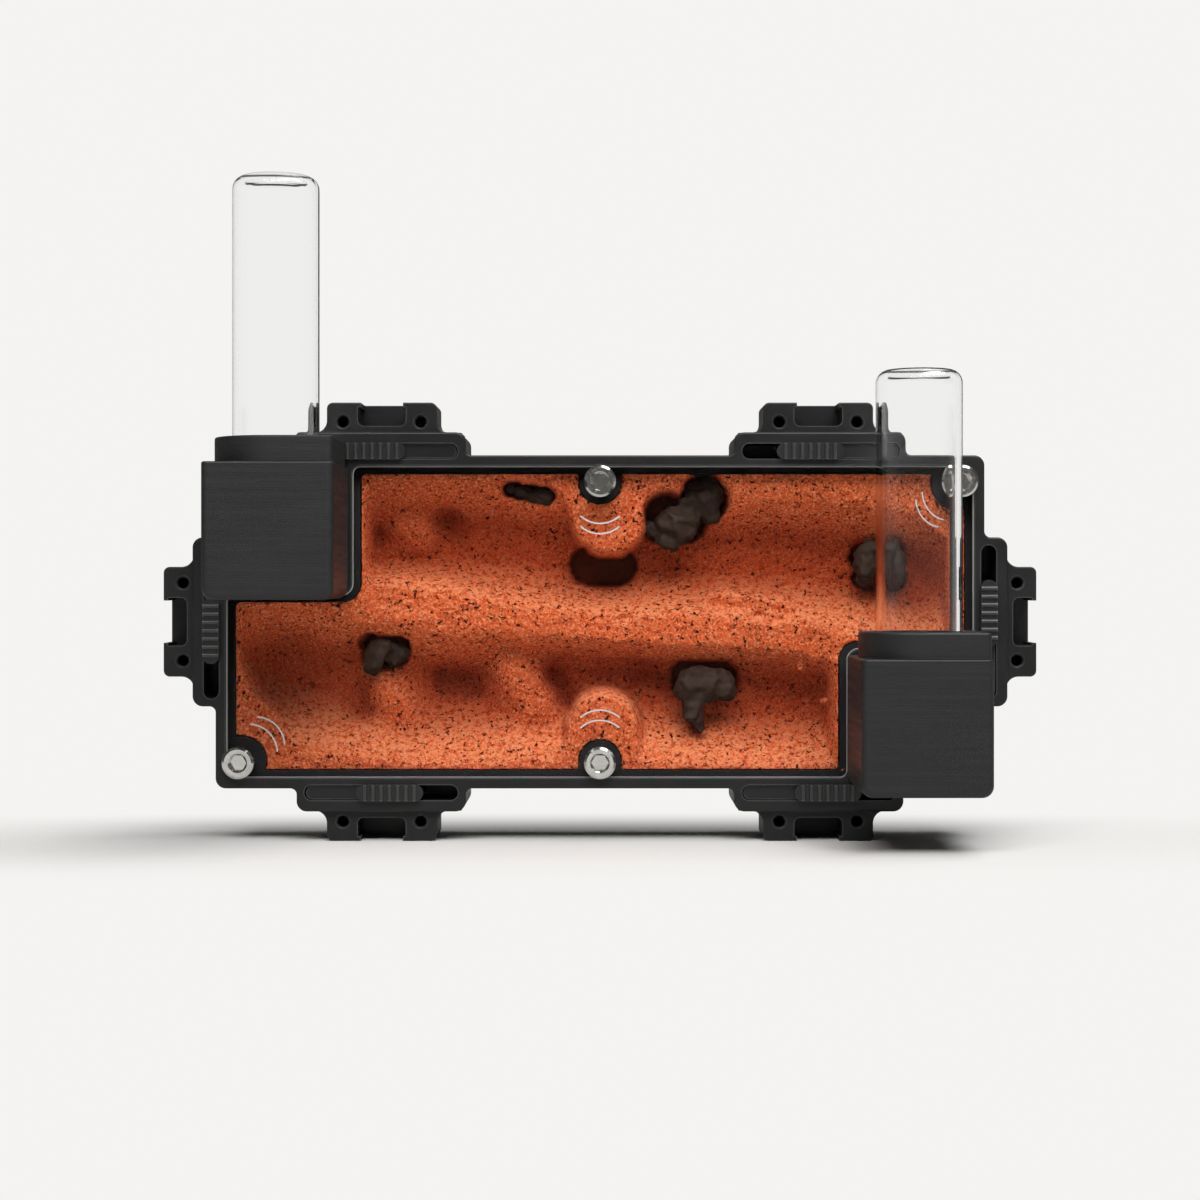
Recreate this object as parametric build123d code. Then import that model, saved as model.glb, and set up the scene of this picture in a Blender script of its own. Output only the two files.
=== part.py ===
from build123d import *
import math
import os

os.makedirs("parts", exist_ok=True)

# An ant habitat: a clamped two-part case round a plaster nest behind a clear window,
# with six docking points closed by sliding gates, and two test tubes in docks.
# Everything is drawn about the middle of the case's front face, with x to the right,
# y up and z towards the viewer, so a depth behind the face is a negative z.
# Each finished piece is then stood on its feet: +Z up, front towards -Y.

# Case
case_width = 150.0
case_height = 65.0
case_depth = 20.0
case_corner = 2.0
case_split = 10.5            # depth of the joint between front and rear frame
case_edge = 0.4              # rounding of the case's front and back edges
back_wall = 2.0

# Window, gasket and nest
window_rim = 2.1             # rim left standing outside the window
window_corner = 1.6
window_depth = 0.3           # window face behind the case face
window_thickness = 3.0
window_edge = 0.2            # bevel round the window's front face
gasket_thickness = 0.6
nest_ledge = 1.4             # ledge between the window's edge and the nest
nest_window_gap = 0.1
fit = 0.1                    # clearance round pieces that drop into a recess
pad_window_width = 24.6      # corner of the window given up to a tube dock
pad_window_height = 25.1
pad_corner = 2.2

# Window screws and their bosses
screw_shank = 3.0
screw_head = 6.2
screw_head_height = 2.4
screw_head_edge = 0.45
screw_socket = 3.0           # across the flats of the hexagon
screw_socket_depth = 1.5
screw_length = 16.0
screw_clearance = 0.3
screw_head_gap = 0.2         # round a window screw's head where it meets the rim
screw_tip_room = 0.7         # bore beyond a window screw's tip
screw_socket_mouth = 0.4     # width of the cone at the socket's mouth
screw_edge_x = 4.6           # from the case's side to a corner screw
screw_edge_y = 5.1           # from the case's top or bottom to a screw
middle_boss = 4.2
corner_boss = 5.0
boss_flare = 1.0
insert_diameter = 4.2
insert_length = 5.0
thread_gap = 0.03

# Docking connectors, seen with the case's edge below them
connector_offset = 42.7      # of the upper and lower ones from the middle
base_width = 33.0
base_height = 4.5
base_corner = 2.0
base_root = 1.2
tooth_width = 21.5
tooth_height = 5.9
tooth_corner = 1.2
tooth_root = 2.4
tooth_setback = 1.5
tooth_thickness = 13.5
tooth_edge = 0.3
notch_width = 9.4
notch_mouth = 8.3
notch_depth = 4.6
notch_lip = 0.9
notch_corner = 1.2
bolt_spacing = 15.2
bolt_hole = 2.2
bolt_edge = 3.8              # from the tooth's outer edge to the holes
bolt_rim = 0.3
bolt_floor = 2.0             # left behind the fixing holes, which are blind
port_width = 5.2
port_height = 4.8
port_corner = 1.2
port_depth = 6.9             # depth of the port's middle behind the case face

# Sliding gates
slot_length = 30.0
slot_width = 3.0
slot_offset = 0.8            # slot's middle outside the case's edge line
gate_play = 0.15
gate_front = 0.6             # gate's front edge behind the case face
gate_travel = 6.5
gate_flange = 4.0
gate_flange_thickness = 1.2
gate_flange_corner = 1.0
gate_end_gap = 0.3
thumb_length = 13.0
thumb_middle = -1.7          # pad's middle from the connector's middle, gate shut
thumb_width = 3.4
thumb_lift = 0.15
thumb_base = 0.55
thumb_ribs = 7
rib_pitch = 1.6
rib_radius = 0.5
rib_inset = 0.15             # from the pad's long edge to a rib's end
stem_inset = 1.5             # from the pad's end to its stem's end
peg_diameter = 1.4
peg_length = 2.6
peg_spacing = 5.0
peg_tip_room = 0.2

# Tube docks on the case's face
dock_width = 24.5
dock_height = 25.6
dock_depth = 25.0
dock_corner = 2.2
dock_edge = 1.2
dock_top_edge = 0.4
dock_inset_x = 0.7           # dock's fixing point nearer the case's middle than its pad's
dock_inset_y = 0.6
dock_shift_x = -0.45         # dock's middle from its fixing point
dock_shift_y = -0.95
dock_floor = 1.8
tube_seat = 5.0              # tube's lower end above the dock's underside
tube_play = 0.3
chamber_lip = 1.3            # ledge that the tube's rim stands on
passage_width = 6.0
passage_height = 3.0
pad_relief = 2.4
relief_gap = 0.5

# Collars, seals and tubes
collar_height = 4.8
collar_radius = 11.5
collar_right = 12.0
collar_back = 10.3
collar_edge = 0.4
collar_corner = 1.0
spigot_diameter = 21.0
spigot_length = 6.0
spigot_play = 0.1
socket_spare = 0.3
seat_gap = 0.1
seal_width = 1.45
seal_height = 2.0
seal_play = 0.05
tube_diameter = 16.4
tube_wall = 1.1
tube_length = 75.0
tube_shoulder = 2.6

# Screws that hold a dock to the case from behind
dock_screw_spacing = 17.6
dock_screw_head = 5.5
dock_screw_head_height = 3.0
dock_screw_head_gap = 0.25   # round a dock screw's head in its recess
dock_screw_sink = 0.2        # head below the case's back
dock_screw_bite = 5.0
pilot_spare = 1.0

# Galleries and tunnels in the nest, with each gallery's middle line from its centre
gallery_depth = 9.6
upper_gallery_width = 15.0
lower_gallery_width = 15.0
link_width = 9.0
upper_gallery = [(-16, 14.5), (6, 12.5), (30, 13), (44, 9), (61, 5)]
lower_gallery = [(-60, -8), (-36, -11), (-12, -9), (10, -11)]
link_path = [(1, 12), (-1, -9)]
upper_gallery_end = (-37, 15.5)     # how far across, and below the case's top
lower_gallery_end = (38, 17.0)      # how far across, and above the case's underside
tunnel_end_x = 56.5          # inner ends of the ways, from the case's middle
tunnel_end_y = 14.0
lane_end = 32.3
lane_width = 4.0             # channel in the case's joint from a dock to the nest
lane_depth = 4.2
lane_rise = {"left": 3.0, "right": 6.25}    # from a dock's passage up to its lane

# Lumps of clay in the nest: x, y, half width, half height and tilt of each
clay_lumps = [
    (-13.9, 24.0, 5.2, 2.2, -12),
    (16.4, 21.0, 8.6, 4.6, 42),
    (54.9, 11.0, 4.9, 4.6, 0),
    (20.9, -14.6, 6.4, 5.2, 20),
    (-42.7, -7.6, 4.9, 3.9, -10),
]
lump_front = 2.6             # face of a clay lump behind the nest's face
lump_thickness = 6.0
lump_edge = 1.4
lump_gap = 0.3

# Arcs engraved in the window beside each screw
engraving_width = 0.3
engraving_depth = 0.2
engraving_radius = 5.7
engraving_spread = 42.0      # half the angle of an arc
engraving_reach = (8.2, 10.2)

# Worked out from the sizes above
half_width = case_width / 2
half_height = case_height / 2
window_width = case_width - 2 * window_rim
window_height = case_height - 2 * window_rim
nest_width = window_width - 2 * nest_ledge
nest_height = window_height - 2 * nest_ledge
window_back = window_depth + window_thickness
ledge_depth = window_back + gasket_thickness
nest_front = window_back + nest_window_gap
nest_back = case_depth - back_wall - fit
connector_height = base_height + tooth_height
upper_gallery.insert(0, (upper_gallery_end[0], half_height - upper_gallery_end[1]))
lower_gallery.append((lower_gallery_end[0], lower_gallery_end[1] - half_height))
tooth_back = tooth_setback + tooth_thickness
face_y = (dock_depth - case_depth) / 2
centre_z = half_height + connector_height
stance = Plane(origin=(0, face_y, centre_z), x_dir=(1, 0, 0), z_dir=(0, -1, 0))

connectors = {
    "top_left": (-connector_offset, half_height, 0),
    "top_right": (connector_offset, half_height, 0),
    "right": (half_width, 0, -90),
    "bottom_right": (connector_offset, -half_height, 180),
    "bottom_left": (-connector_offset, -half_height, 180),
    "left": (-half_width, 0, 90),
}

screw_x = half_width - screw_edge_x
screw_y = half_height - screw_edge_y
middle_screws = [(0, screw_y), (0, -screw_y)]
corner_screws = [(-screw_x, -screw_y), (screw_x, screw_y)]
window_screw_places = middle_screws + corner_screws

# A pad is the case's corner under a dock, upper left (-1, 1) and lower right (1, -1).
pad_width = pad_window_width + window_rim
pad_height = pad_window_height + window_rim
pad_x = half_width - pad_width / 2
pad_y = half_height - pad_height / 2
docks = {"left": (-1, 1), "right": (1, -1)}
dock_x = pad_x - dock_inset_x
dock_y = pad_y - dock_inset_y
tube_z = dock_depth / 2
dock_screw_seat = case_depth - dock_screw_head_height - dock_screw_sink

# The ants' passage out of a dock, from the dock's middle, and each lane's height.
passage_level = dock_floor + passage_height / 2 - dock_height / 2
lane_levels = {
    name: level * dock_y + dock_shift_y + passage_level + lane_rise[name]
    for name, (side, level) in docks.items()
}


def save(name, shape):
    """Stands a finished piece on its feet and writes it."""
    export_step(stance.location * shape, f"parts/{name}.step")


def slab(outline, front, back):
    """An outline made solid between two depths behind the case's face."""
    return extrude(Pos(0, 0, -back) * outline, amount=back - front)


def at_connectors(shape):
    """Copies of a shape drawn on a connector, one for each connector."""
    return [Pos(x, y) * Rot(0, 0, turn) * shape for x, y, turn in connectors.values()]


def upright(radius, low, high):
    """A round bar standing on the tube's axis, between two heights."""
    bar = Rot(90, 0, 0) * Cylinder(radius, high - low)
    return Pos(0, (low + high) / 2, tube_z) * bar


def tab(width, height, corner, root, sink):
    """A tab standing on an edge line, with round corners and flared roots."""
    half = width / 2
    foot = half + 2 * root
    points = [
        (-foot, -sink), (-foot, 0), (-half, 0), (-half, height),
        (half, height), (half, 0), (foot, 0), (foot, -sink),
    ]
    face = make_face(Polyline(*points, close=True))
    face = fillet(face.vertices().filter_by(lambda v: v.Y > height / 2), corner)
    roots = face.vertices().filter_by(
        lambda v: abs(v.Y) < 0.01 and abs(abs(v.X) - half) < 0.01
    )
    return fillet(roots, root)


def notched(width, height, corner, inset, gap):
    """A rectangle that leaves the two dock pads free, grown all round by a gap."""
    shape = Rectangle(width + 2 * gap, height + 2 * gap)
    cut_x = half_width - pad_width - inset + gap
    cut_y = half_height - pad_height - inset + gap
    for side, level in docks.values():
        pad = Rectangle(half_width, half_height)
        shape -= Pos(side * (cut_x + half_width / 2), level * (cut_y + half_height / 2)) * pad
    inner = shape.vertices().filter_by(
        lambda v: abs(abs(v.X) - cut_x) < 0.01 and abs(abs(v.Y) - cut_y) < 0.01
    )
    shape = fillet(inner, pad_corner + inset - gap)
    far_x = width / 2 + gap
    far_y = height / 2 + gap
    outer = [v for v in shape.vertices() if is_outer_corner(v, far_x, far_y, cut_x, cut_y)]
    return fillet(outer, corner + gap)


def is_outer_corner(vertex, far_x, far_y, cut_x, cut_y):
    """True at the outer corners of a notched rectangle."""
    x, y = abs(vertex.X), abs(vertex.Y)
    on_side = abs(x - far_x) < 0.01 and (abs(y - far_y) < 0.01 or abs(y - cut_y) < 0.01)
    on_top = abs(y - far_y) < 0.01 and abs(x - cut_x) < 0.01
    return on_side or on_top


def window_outline(gap):
    """The window's outline, grown by a gap."""
    return notched(window_width, window_height, window_corner, 0, gap)


def nest_outline(gap):
    """The nest's outline, grown by a gap, with room left for the screw bosses."""
    shape = notched(nest_width, nest_height, window_corner, nest_ledge, gap)
    for x, y in middle_screws:
        shape -= Pos(x, y) * Circle(middle_boss - gap)
    for x, y in corner_screws:
        shape -= Pos(x, y) * Circle(corner_boss - gap)
    edge = nest_height / 2 + gap
    flares = shape.vertices().filter_by(
        lambda v: abs(abs(v.Y) - edge) < 0.01 and abs(v.X) < middle_boss
    )
    return fillet(flares, boss_flare)


def at_docks(x_in, y_in):
    """The place on each pad of a point given from the dock's middle."""
    places = []
    for side, level in docks.values():
        x = side * dock_x + dock_shift_x + x_in
        places.append((x, level * dock_y + dock_shift_y + y_in))
    return places


def screw_hole(diameter):
    """The outline of a screw's clearance hole."""
    return Circle((diameter + screw_clearance) / 2)


def dock_screw_places():
    """Both screws behind each dock."""
    places = []
    for side in (-1, 1):
        places += at_docks(side * dock_screw_spacing / 2, -dock_shift_y)
    return places


def notch_outline():
    """The notch in a tooth, open at the outer edge past two small lips."""
    floor = connector_height - notch_depth
    lip = connector_height - notch_lip
    half = notch_width / 2
    mouth = notch_mouth / 2
    top = connector_height + 1
    points = [
        (-half, floor), (half, floor), (half, lip), (mouth, lip),
        (mouth, top), (-mouth, top), (-mouth, lip), (-half, lip),
    ]
    face = make_face(Polyline(*points, close=True))
    return fillet(face.vertices().filter_by(lambda v: v.Y < floor + 0.01), notch_corner)


def rimmed_hole(diameter, depth, rim):
    """A hole's cutter from the face z = 0 backwards, with its rim broken."""
    hole = Pos(0, 0, -depth / 2) * Cylinder(diameter / 2, depth)
    cone = Cone(diameter / 2, diameter / 2 + 2 * rim, 2 * rim)
    return hole + cone


def teeth(front, back):
    """The outer step of every connector between two depths."""
    outline = tab(tooth_width, tooth_height, tooth_corner, tooth_root, base_height / 2)
    tooth = slab(Pos(0, base_height) * outline, front, back)
    if front == tooth_setback:
        edges = tooth.faces().sort_by(Axis.Z)[-1].edges()
    else:
        edges = tooth.faces().sort_by(Axis.Z)[0].edges()
    return at_connectors(fillet(edges, tooth_edge))


def case_body(front, back):
    """The case's outline with the connectors' inner steps, between two depths."""
    outline = RectangleRounded(case_width, case_height, case_corner)
    outline += at_connectors(tab(base_width, base_height, base_corner, base_root, base_height))
    body = slab(outline, front, back)
    faces = body.faces().sort_by(Axis.Z)
    outer = faces[-1] if front == 0 else faces[0]
    return fillet(outer.edges(), case_edge)


def bolt_holes(front, back):
    """Both fixing holes of every tooth, open to the front."""
    holes = []
    height = connector_height - bolt_edge
    for side in (-1, 1):
        cutter = rimmed_hole(bolt_hole, back - front, bolt_rim)
        holes += at_connectors(Pos(side * bolt_spacing / 2, height, -front) * cutter)
    return holes


def port_bar(length):
    """A bar along y of the section that the ants' ways are cut with."""
    section = RectangleRounded(port_width, port_height, port_corner)
    return Rot(90, 0, 0) * Pos(0, 0, -length / 2) * extrude(section, amount=length)


def ports():
    """The ants' way from every notch through the gate's slot to the nest."""
    length = connector_height - notch_depth + window_rim + nest_ledge + 2
    middle = connector_height - notch_depth + 1 - length / 2
    return at_connectors(Pos(0, middle, -port_depth) * port_bar(length))


def lane_boxes():
    """Channels in the joint of the case that lead from each dock to the nest."""
    lanes = []
    for name, (x, y) in zip(docks, at_docks(0, passage_level)):
        side = docks[name][0]
        end_y = lane_levels[name]
        edge_x = side * (half_width - pad_width - nest_ledge - 1)
        low, high = sorted((y, end_y))
        rise = Box(lane_width, high - low + lane_width, lane_depth)
        run = Box(abs(edge_x - x) + lane_width / 2, lane_width, lane_depth)
        run_x = (edge_x + x) / 2 + side * lane_width / 4
        depth = -case_split + lane_depth / 2
        lanes.append(Pos(x, (low + high) / 2, depth) * rise)
        lanes.append(Pos(run_x, end_y, depth) * run)
    return lanes


def front_frame():
    """The front of the case: rim, window ledge, bosses, gate slots and dock pads."""
    body = case_body(0, case_split) + teeth(tooth_setback, case_split)
    body -= slab(window_outline(fit), -1, ledge_depth)
    body -= slab(nest_outline(fit), ledge_depth - 1, case_split + 1)
    for x, y in window_screw_places:
        body -= slab(Pos(x, y) * screw_hole(screw_shank), -1, case_split + 1)
        body -= Pos(x, y) * Cylinder(screw_head / 2 + screw_head_gap, 2 * window_depth)
    body -= at_connectors(slab(notch_outline(), 0, case_split + 1))
    body -= bolt_holes(tooth_setback, case_split + 1)
    slot = Pos(0, slot_offset) * SlotOverall(slot_length, slot_width)
    body -= at_connectors(slab(slot, -1, case_split + 1))
    channel_width = gate_flange + 2 * gate_play
    channel = RectangleRounded(slot_length, channel_width, gate_flange_corner)
    channel = Pos(0, slot_offset) * channel
    channel_top = case_split - gate_flange_thickness - 2 * gate_play
    body -= at_connectors(slab(channel, channel_top, case_split + 1))
    body -= ports()
    for x, y in at_docks(0, passage_level):
        hole = Pos(x, y) * SlotOverall(passage_width, passage_height)
        body -= slab(hole, -1, case_split - 1)
    body -= lane_boxes()
    for x, y in dock_screw_places():
        body -= slab(Pos(x, y) * screw_hole(screw_shank), -1, case_split + 1)
    return body


def rear_frame():
    """The closed back of the case, with the threaded bosses."""
    body = case_body(case_split, case_depth) + teeth(case_split, tooth_back)
    body -= slab(nest_outline(fit), case_split - 1, case_depth - back_wall)
    height = connector_height - bolt_edge
    for side in (-1, 1):
        hole = Pos(side * bolt_spacing / 2, height) * Circle(bolt_hole / 2)
        body -= at_connectors(slab(hole, case_split - 1, tooth_back - bolt_floor))
    tip = window_depth + screw_length + screw_tip_room
    for x, y in window_screw_places:
        seat = Pos(x, y) * Circle(insert_diameter / 2)
        body -= slab(seat, case_split - 1, case_split + insert_length)
        body -= slab(Pos(x, y) * screw_hole(screw_shank), case_split, tip)
    for x, y in dock_screw_places():
        body -= slab(Pos(x, y) * screw_hole(screw_shank), case_split - 1, case_depth + 1)
        recess = Pos(x, y) * Circle(dock_screw_head / 2 + dock_screw_head_gap)
        body -= slab(recess, dock_screw_seat, case_depth + 1)
    return body


def window():
    """The clear front, with its screw holes and the arcs engraved beside them."""
    body = slab(window_outline(0), window_depth, window_back)
    body = chamfer(body.faces().sort_by(Axis.Z)[-1].edges(), window_edge)
    for x, y in window_screw_places:
        body -= slab(Pos(x, y) * screw_hole(screw_shank), window_depth - 1, window_back + 1)
        for reach in engraving_reach:
            body -= Pos(x, y) * Rot(0, 0, inward_angle(x, y)) * engraved_arc(reach)
    return body


def inward_angle(x, y):
    """The direction from a window screw to the middle of the window's near field."""
    down = -1 if y > 0 else 1
    across = 0 if x == 0 else -math.copysign(1, x)
    return math.degrees(math.atan2(down, across))


def engraved_arc(reach):
    """A shallow curved groove across +x at a distance from the origin."""
    centre = reach - engraving_radius
    band = Circle(engraving_radius + engraving_width / 2)
    band -= Circle(engraving_radius - engraving_width / 2)
    spread = math.radians(engraving_spread)
    far = 2 * engraving_radius
    along, across = far * math.cos(spread), far * math.sin(spread)
    wedge = make_face(Polyline((0, 0), (along, -across), (along, across), close=True))
    return slab(Pos(centre, 0) * (band & wedge), window_depth - 0.1, window_depth + engraving_depth)


def window_gasket():
    """The flat seal between the window and the case's ledge and bosses."""
    body = slab(window_outline(-fit) - nest_outline(fit), window_back, ledge_depth)
    for x, y in window_screw_places:
        body -= slab(Pos(x, y) * screw_hole(screw_shank), window_back - 1, ledge_depth + 1)
    return body


def cap_screw(diameter, head, head_height, length):
    """A socket head screw, its head's underside at z = 0 and its shank backwards."""
    top = Pos(0, 0, head_height / 2) * Cylinder(head / 2, head_height)
    top = chamfer(top.edges().sort_by(Axis.Z)[-1], screw_head_edge)
    shank = Pos(0, 0, -length / 2) * Cylinder(diameter / 2, length)
    shank = chamfer(shank.edges().sort_by(Axis.Z)[0], diameter / 8)
    hexagon = RegularPolygon(screw_socket / 2, 6, major_radius=False)
    socket = Pos(0, 0, head_height - screw_socket_depth) * hexagon
    socket = extrude(socket, amount=screw_socket_depth + 1)
    wide = screw_socket / 2 + screw_socket_mouth
    mouth = Cone(screw_socket / 2, wide, screw_socket_mouth)
    mouth = Pos(0, 0, head_height - screw_socket_mouth / 2) * mouth
    return top + shank - socket - mouth


def window_screws():
    """The four screws that clamp the window and both frames together."""
    screw = cap_screw(screw_shank, screw_head, screw_head_height, screw_length)
    return Compound([Pos(x, y, -window_depth) * screw for x, y in window_screw_places])


def threaded_inserts():
    """The four brass inserts in the rear frame's bosses."""
    ring = Circle(insert_diameter / 2) - Circle(screw_shank / 2 + thread_gap)
    rings = []
    for x, y in window_screw_places:
        rings.append(slab(Pos(x, y) * ring, case_split, case_split + insert_length))
    return Compound(rings)


def dock_screws():
    """The four screws that hold the docks, from behind the case."""
    length = dock_screw_seat + dock_screw_bite
    screw = cap_screw(screw_shank, dock_screw_head, dock_screw_head_height, length)
    turned = Rot(0, 180, 0) * screw
    return Compound([Pos(x, y, -dock_screw_seat) * turned for x, y in dock_screw_places()])


def gallery(points, width):
    """A winding room of one width, round at its ends and bends."""
    shape = Pos(*points[0]) * Circle(width / 2)
    for (x1, y1), (x2, y2) in zip(points, points[1:]):
        length = math.hypot(x2 - x1, y2 - y1)
        turn = math.degrees(math.atan2(y2 - y1, x2 - x1))
        bar = Rectangle(length, width)
        shape += Pos((x1 + x2) / 2, (y1 + y2) / 2) * Rot(0, 0, turn) * bar
        shape += Pos(x2, y2) * Circle(width / 2)
    return shape


def tunnels():
    """Ways from the nest's edges to its galleries, in line with the ports and the lanes."""
    bores = []
    for x, y, turn in connectors.values():
        edge, end = (half_height, tunnel_end_y) if abs(y) == half_height else (half_width, tunnel_end_x)
        start = window_rim + nest_ledge - 1
        length = edge - end - start
        bar = Pos(0, -start - length / 2, -port_depth) * port_bar(length)
        bores.append(Pos(x, y) * Rot(0, 0, turn) * bar)
    depth = case_split - lane_depth / 2
    start = half_width - pad_width
    bore = Rot(0, 90, 0) * Cylinder(lane_width / 2, start - lane_end)
    for name, level in lane_levels.items():
        side = docks[name][0]
        bores.append(Pos(side * (start + lane_end) / 2, level, -depth) * bore)
    return bores


def nest_insert():
    """The plaster nest, with open galleries towards the window."""
    body = slab(nest_outline(0), nest_front, nest_back)
    rooms = gallery(upper_gallery, upper_gallery_width)
    rooms += gallery(lower_gallery, lower_gallery_width)
    rooms += gallery(link_path, link_width)
    body -= slab(rooms, nest_front - 1, nest_front + gallery_depth)
    for x, y, half_long, half_short, tilt in clay_lumps:
        pocket = Pos(x, y) * Rot(0, 0, tilt) * Ellipse(half_long + lump_gap, half_short + lump_gap)
        body -= slab(pocket, nest_front - 1, nest_front + lump_front + lump_thickness)
    body -= tunnels()
    return body


def clay_inlays():
    """The dark lumps of clay lying in their hollows in the nest."""
    lumps = []
    for x, y, half_long, half_short, tilt in clay_lumps:
        outline = Pos(x, y) * Rot(0, 0, tilt) * Ellipse(half_long, half_short)
        front = nest_front + lump_front
        lump = slab(outline, front, front + lump_thickness)
        tightest = half_short**2 / half_long
        edge = min(lump_edge, 0.8 * tightest)
        lumps.append(fillet(lump.edges().sort_by(Axis.Z)[-1], edge))
    return Compound(lumps)


def gate_bar():
    """A sliding gate, its blade closing the port and its opening off to one side."""
    start = thumb_middle - thumb_length / 2
    end = slot_length / 2 - gate_end_gap
    length = end - start
    middle = (start + end) / 2
    blade = Pos(middle, slot_offset) * SlotOverall(length, slot_width - 2 * gate_play)
    bottom = case_split - gate_play
    body = slab(blade, gate_front, bottom)
    flange = RectangleRounded(length, gate_flange, gate_flange_corner)
    flange = Pos(middle, slot_offset) * flange
    body += slab(flange, bottom - gate_flange_thickness, bottom)
    body -= Pos(gate_travel, slot_offset, -port_depth) * port_bar(2 * gate_flange)
    for side in (-1, 1):
        hole = Circle(peg_diameter / 2 + thread_gap)
        place = Pos(thumb_middle + side * peg_spacing / 2, slot_offset)
        body -= slab(place * hole, gate_front - 1, gate_front + peg_length + peg_tip_room)
    return body


def thumb_pad():
    """The ribbed pad on a gate, proud of the case and wider than its slot."""
    outline = Pos(thumb_middle, slot_offset) * SlotOverall(thumb_length, thumb_width)
    top = thumb_lift + thumb_base
    body = slab(outline, -top, -thumb_lift)
    stem = SlotOverall(thumb_length - 2 * stem_inset, slot_width - 4 * gate_play)
    body += slab(Pos(thumb_middle, slot_offset) * stem, -thumb_lift, gate_front)
    for side in (-1, 1):
        place = Pos(thumb_middle + side * peg_spacing / 2, slot_offset)
        body += slab(place * Circle(peg_diameter / 2), gate_front, gate_front + peg_length)
    rib = Rot(90, 0, 0) * Cylinder(rib_radius, thumb_width - 2 * rib_inset)
    for index in range(thumb_ribs):
        x = thumb_middle + (index - (thumb_ribs - 1) / 2) * rib_pitch
        body += Pos(x, slot_offset, top) * rib
    return body


def dock_body():
    """A tube dock about its own middle, its back on z = 0."""
    low = -dock_height / 2
    high = dock_height / 2
    outline = Rectangle(dock_width, dock_height)
    outline = fillet(outline.vertices().sort_by(Axis.Y)[:2], dock_corner)
    body = extrude(outline, amount=dock_depth)
    face = body.faces().sort_by(Axis.Z)[-1]
    body = fillet(face.edges().filter_by(lambda e: e.center().Y < high - 0.01), dock_edge)
    top = body.faces().sort_by(Axis.Y)[-1]
    body = fillet(top.edges().filter_by(lambda e: e.center().Z > 0.01), dock_top_edge)
    spigot_hole = spigot_diameter / 2 + spigot_play
    body -= upright(spigot_hole, high - spigot_length - socket_spare, high + 1)
    body -= upright(tube_diameter / 2 + tube_play, low + tube_seat, high)
    chamber = tube_diameter / 2 - chamber_lip
    body -= upright(chamber, low + dock_floor, low + tube_seat + 1)
    slot = SlotOverall(passage_width, passage_height)
    body -= Pos(0, passage_level) * extrude(slot, amount=tube_z)
    for side in (-1, 1):
        depth = dock_screw_bite + pilot_spare
        pilot = Pos(0, 0, depth / 2) * Cylinder(screw_shank / 2 + thread_gap, depth)
        body -= Pos(side * dock_screw_spacing / 2, -dock_shift_y) * pilot
    return body - thumb_relief()


def thumb_relief():
    """The space that the lower right gate's thumb pad sweeps, seen from that dock's middle."""
    length = thumb_length + gate_travel + 2 * relief_gap
    x = connector_offset - thumb_middle + gate_travel / 2 - (dock_x + dock_shift_x)
    y = -half_height - slot_offset - (-dock_y + dock_shift_y)
    return Pos(x, y) * Box(length, thumb_width + 2 * relief_gap, 2 * pad_relief)


def tube_collar():
    """The collar plugged into a dock's top, round on the left and square on the right."""
    high = dock_height / 2 + seat_gap
    top_view = Plane(origin=(0, high, tube_z), x_dir=(1, 0, 0), z_dir=(0, 1, 0))
    depth = collar_radius + collar_back
    block = Rectangle(collar_right, depth, align=(Align.MIN, Align.MAX))
    outline = Circle(collar_radius) + Pos(0, collar_back) * block
    band = Rectangle(3 * collar_radius, depth, align=(Align.CENTER, Align.MAX))
    outline = outline & (Pos(0, collar_back) * band)
    right = outline.vertices().filter_by(lambda v: v.X > collar_right - 0.01)
    outline = fillet(right, collar_corner)
    body = extrude(top_view * outline, amount=collar_height)
    body = fillet(body.faces().sort_by(Axis.Y)[-1].edges(), collar_edge)
    body += upright(spigot_diameter / 2, high - spigot_length, high + 1)
    body -= upright(tube_diameter / 2 + tube_play, high - spigot_length - 1, high + collar_height + 1)
    seal_radius = tube_diameter / 2 + seal_play + seal_width
    body -= upright(seal_radius, high - spigot_length - 1, high - spigot_length + seal_height)
    return body


def tube_seal():
    """The soft ring in the foot of a collar that grips the tube."""
    low = dock_height / 2 + seat_gap - spigot_length
    inner = tube_diameter / 2 + seal_play
    ring = upright(inner + seal_width, low, low + seal_height)
    return ring - upright(inner, low - 1, low + seal_height + 1)


def glass_tube():
    """A test tube stood open end down on its dock's ledge, its flat closed end up."""
    low = tube_seat - dock_height / 2 + seat_gap
    high = low + tube_length
    body = upright(tube_diameter / 2, low, high)
    body = fillet(body.edges().sort_by(Axis.Y)[-1], tube_shoulder)
    bore = upright(tube_diameter / 2 - tube_wall, low - 1, high - tube_wall)
    bore = fillet(bore.edges().sort_by(Axis.Y)[-1], tube_shoulder - tube_wall)
    body -= bore
    rim = body.faces().sort_by(Axis.Y)[0].edges()
    return fillet(rim, tube_wall / 4)


save("front_frame", front_frame())
save("rear_frame", rear_frame())
save("window", window())
save("window_gasket", window_gasket())
save("window_screws", window_screws())
save("threaded_inserts", threaded_inserts())
save("dock_screws", dock_screws())
save("nest_insert", nest_insert())
save("clay_inlays", clay_inlays())

bar = gate_bar()
thumb = thumb_pad()
for name, (x, y, turn) in connectors.items():
    place = Pos(x, y) * Rot(0, 0, turn)
    save(f"{name}_gate", place * bar)
    save(f"{name}_thumb_pad", place * thumb)

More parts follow.
